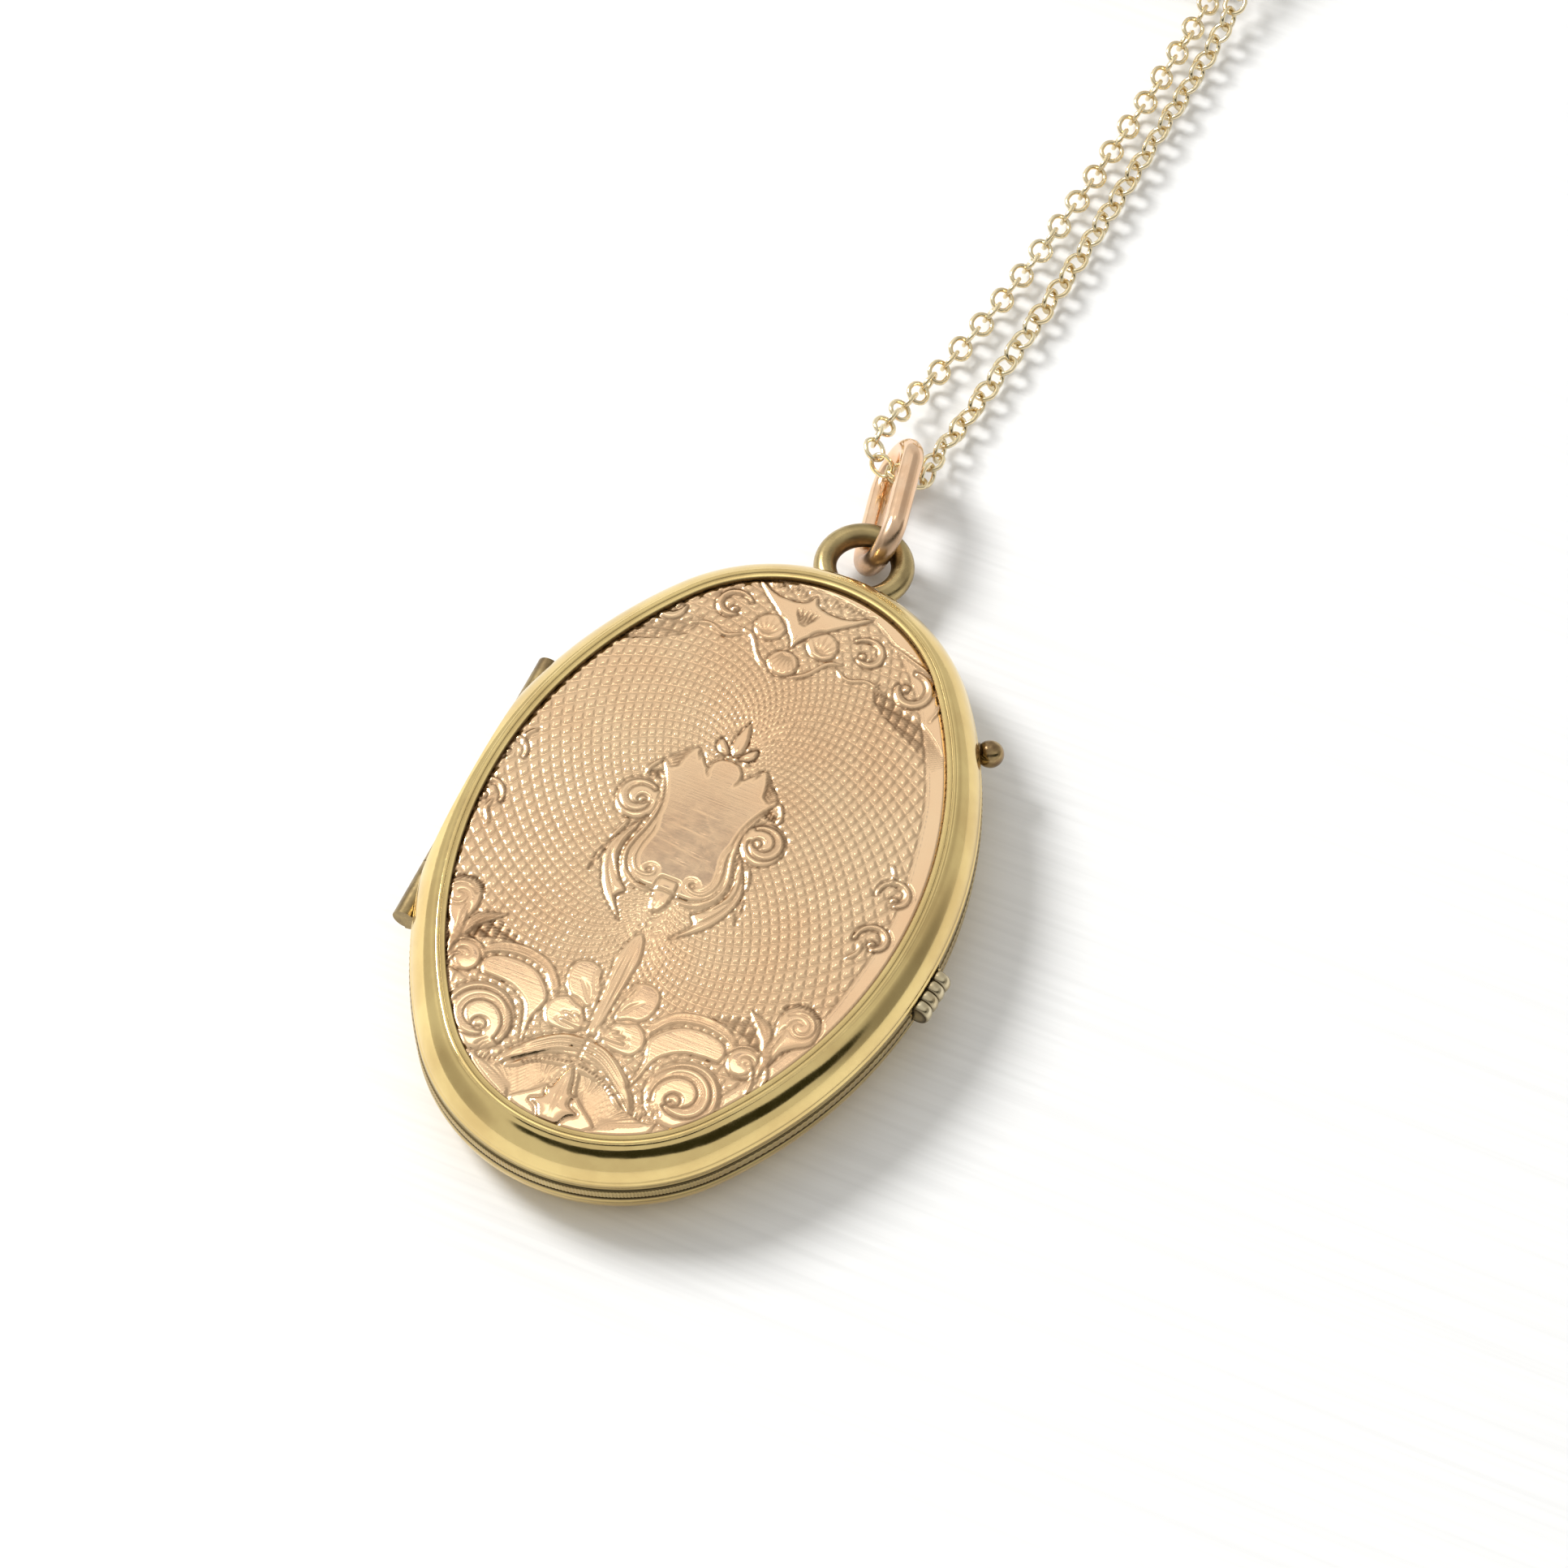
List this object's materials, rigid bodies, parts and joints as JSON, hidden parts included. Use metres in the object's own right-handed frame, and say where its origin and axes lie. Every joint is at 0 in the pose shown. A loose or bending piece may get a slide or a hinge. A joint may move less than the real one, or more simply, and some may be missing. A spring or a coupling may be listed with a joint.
{
  "type": "locket",
  "caption": "Oval photograph locket with a hinged engraved cover, an inner leaf, a bow, a bail link and a fine chain with a spring-ring clasp.",
  "frame": {"origin": "middle of the back plate's outer face, on the surface the locket lies on", "axes": "+Z out of the front cover, +Y towards the bow, the hinge on the -X side"},
  "size_m": [0.0288, 0.0966, 0.0056],
  "materials": {
    "yellow_gold": "polished, lightly worn",
    "rose_gold_plate": "engine-turned and engraved",
    "leaf_gold": "polished, milled edge",
    "hinge_brass": "worn, tarnished in the joints",
    "bow_brass": "worn",
    "pale_gold": "polished ribs",
    "pin_brass": "turned",
    "bail_rose_gold": "polished, scratched",
    "chain_gold": "polished cable links",
    "clasp_gold": "polished",
    "photo_card": "aged matt card",
    "window": "clear thin sheet"
  },
  "bodies": {
    "back_case": {"back_rim": "yellow_gold", "back_plate": "rose_gold_plate", "back_photo": "photo_card", "back_window": "window", "back_bezel": "yellow_gold", "hinge_pin": "hinge_brass", "knuckle_back_upper": "hinge_brass", "knuckle_back_lower": "hinge_brass", "thumb_piece": "pale_gold", "bow": "bow_brass"},
    "leaf": {"leaf_frame": "leaf_gold", "leaf_divider": "leaf_gold", "leaf_photo_front": "photo_card", "leaf_photo_back": "photo_card", "leaf_window_front": "window", "leaf_window_back": "window", "leaf_bezel_front": "leaf_gold", "leaf_bezel_back": "leaf_gold", "leaf_knuckle": "hinge_brass", "leaf_ball_pin": "pin_brass"},
    "front_cover": {"front_rim": "yellow_gold", "front_plate": "rose_gold_plate", "front_photo": "photo_card", "front_window": "window", "front_bezel": "yellow_gold", "knuckle_front_upper": "hinge_brass", "knuckle_front_lower": "hinge_brass"},
    "bail_link": {"bail_link": "bail_rose_gold"},
    "chain": {"chain_left": "chain_gold", "chain_right": "chain_gold", "chain_coil_left": "chain_gold", "chain_coil_right": "chain_gold", "chain_tail_left": "chain_gold", "chain_tail_right": "chain_gold", "clasp_ring": "clasp_gold", "clasp_eye": "clasp_gold", "clasp_end_ring": "clasp_gold"},
    "clasp_trigger": {"clasp_trigger": "clasp_gold"}
  },
  "joints": [
    {"name": "cover_hinge", "type": "hinge", "parent": "back_case", "child": "front_cover", "pos_m": [-0.0113, 0, 0.00253], "axis": [0, -1, 0], "range_deg": [0, 155]},
    {"name": "leaf_hinge", "type": "hinge", "parent": "back_case", "child": "leaf", "pos_m": [-0.0113, 0, 0.00253], "axis": [0, -1, 0], "range_deg": [0, 77.5]},
    {"name": "bail_swing", "type": "hinge", "parent": "back_case", "child": "bail_link", "pos_m": [-0.0004, 0.02166, 0.0017], "axis": [0.8792, 0.1869, -0.4384], "range_deg": [0, 95]},
    {"name": "chain_swing", "type": "hinge", "parent": "bail_link", "child": "chain", "pos_m": [-0.00104, 0.02531, 0.00197], "axis": [0.8792, 0.1869, -0.4384], "range_deg": [-95, 0]},
    {"name": "clasp_slide", "type": "hinge", "parent": "chain", "child": "clasp_trigger", "pos_m": [-0.007, 0.07, 0.00115], "axis": [0, 0, -1], "range_deg": [0, 58], "stiffness_Nm_per_rad": 0.0005, "springref_deg": -17.19}
  ],
  "couplings": [
    {"joint": "leaf_hinge", "follows": "cover_hinge", "ratio": 0.5},
    {"joint": "chain_swing", "follows": "bail_swing", "ratio": -1}
  ]
}
